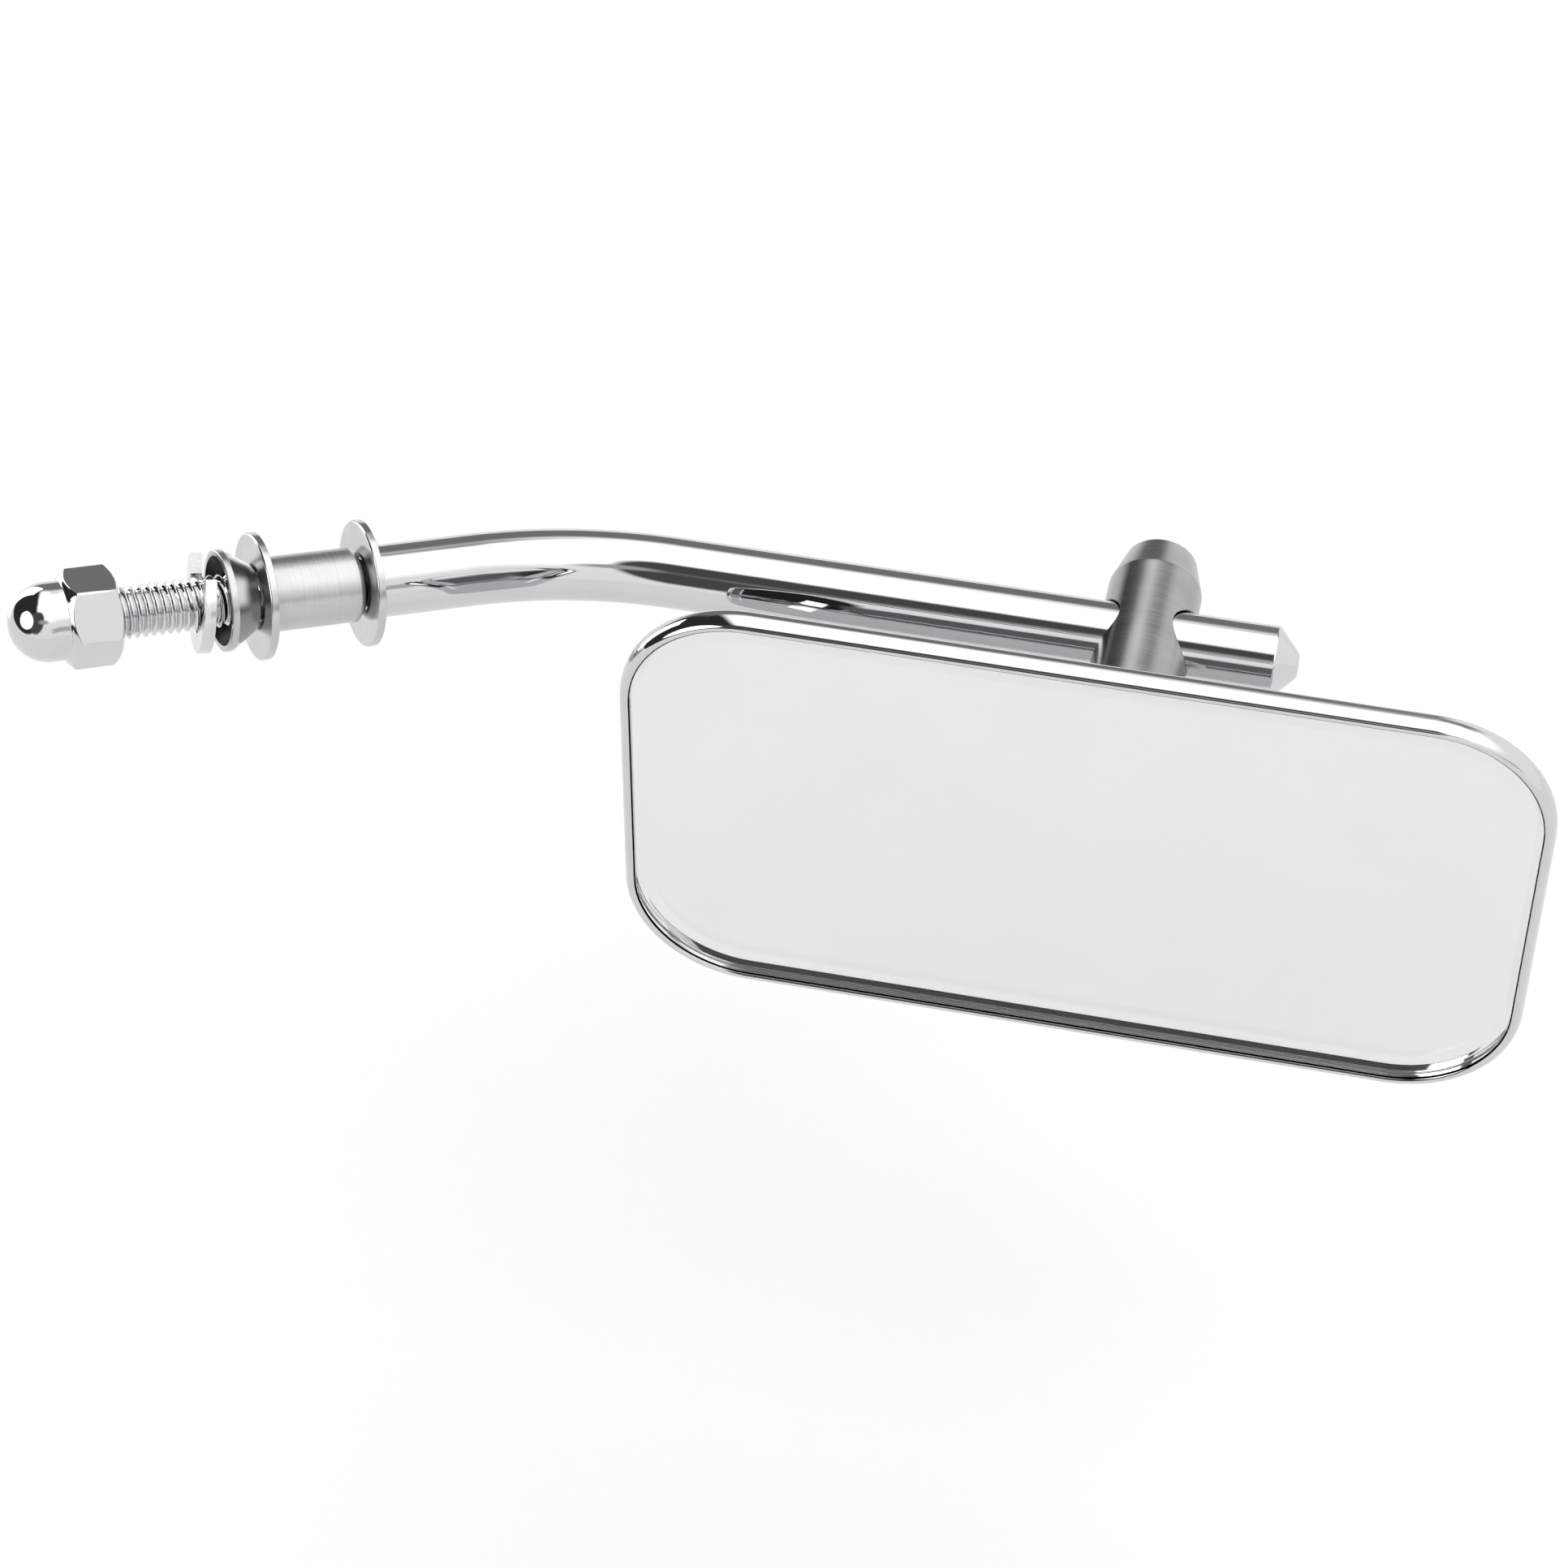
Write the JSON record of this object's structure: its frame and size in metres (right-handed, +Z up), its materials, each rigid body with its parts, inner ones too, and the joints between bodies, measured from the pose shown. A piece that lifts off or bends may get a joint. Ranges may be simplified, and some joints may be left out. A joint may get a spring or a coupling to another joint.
{
  "type": "rearview mirror",
  "caption": "Rectangular rearview mirror on a swivelling post, clamped to a bent round stem with a threaded stud, cap nut, washers and spacers.",
  "frame": {"origin": "on the stud's axis, in the face of the flat washer that the bracket is clamped against", "axes": "+X along the head's long side and the stem's straight outer length, away from the stud; +Y away from the glass; +Z up"},
  "size_m": [0.2242, 0.068, 0.0744],
  "materials": {
    "stem_chrome": "polished chrome plate",
    "nut_chrome": "polished chrome plate",
    "post_chrome": "chrome plate with fine turning marks",
    "shell_chrome": "polished chrome plate",
    "washer_steel": "bright plated",
    "sleeve_steel": "satin turned",
    "taper_steel": "bright turned",
    "lock_washer_steel": "bright plated",
    "inner_steel": "zinc plated",
    "dark_steel": "black oxide",
    "pad_brass": "bright",
    "nylon": "matte natural",
    "backing_fibre": "matte fibre sheet",
    "bond_foam": "matte foam",
    "silvered_glass": "polished, ground bevel"
  },
  "bodies": {
    "seat": {"flat_washer_1": "washer_steel", "spacer_sleeve": "sleeve_steel", "flat_washer_2": "washer_steel"},
    "stem": {"stem": "stem_chrome"},
    "taper": {"taper_spacer": "taper_steel"},
    "spring_washer": {"lock_washer": "lock_washer_steel"},
    "nut": {"cap_nut": "nut_chrome"},
    "post": {"post": "post_chrome", "clamp_pad": "pad_brass", "locknut": "inner_steel", "locknut_insert": "nylon", "inner_washer": "inner_steel", "wave_washer": "inner_steel", "swivel_washer": "nylon"},
    "screw": {"set_screw": "dark_steel"},
    "head": {"shell": "shell_chrome", "reinforcement_plate": "inner_steel", "backing_plate": "backing_fibre", "adhesive_pad": "bond_foam", "mirror_glass": "silvered_glass"}
  },
  "joints": [
    {"name": "stem_turn", "type": "hinge", "parent": "seat", "child": "stem", "pos_m": [0, 0, 0], "axis": [-0.8192, -0.5446, 0.1801], "continuous": true},
    {"name": "taper_slide", "type": "slide", "parent": "stem", "child": "taper", "axis": [-0.8192, -0.5446, 0.1801], "range_m": [0, 0.006]},
    {"name": "lock_washer_slide", "type": "slide", "parent": "taper", "child": "spring_washer", "axis": [-0.8192, -0.5446, 0.1801], "range_m": [0, 0.005]},
    {"name": "cap_nut_turn", "type": "hinge", "parent": "stem", "child": "nut", "pos_m": [0, 0, 0], "axis": [-0.8192, -0.5446, 0.1801], "continuous": true},
    {"name": "post_turn", "type": "hinge", "parent": "stem", "child": "post", "pos_m": [0.12975, 0.02755, -0.00911], "axis": [1, 0, 0], "continuous": true},
    {"name": "set_screw_turn", "type": "hinge", "parent": "post", "child": "screw", "pos_m": [0.12975, 0.02755, -0.00911], "axis": [0, 1, 0], "continuous": true},
    {"name": "head_swivel", "type": "hinge", "parent": "post", "child": "head", "pos_m": [0.12975, 0.02755, -0.00911], "axis": [0, 1, 0], "continuous": true}
  ]
}
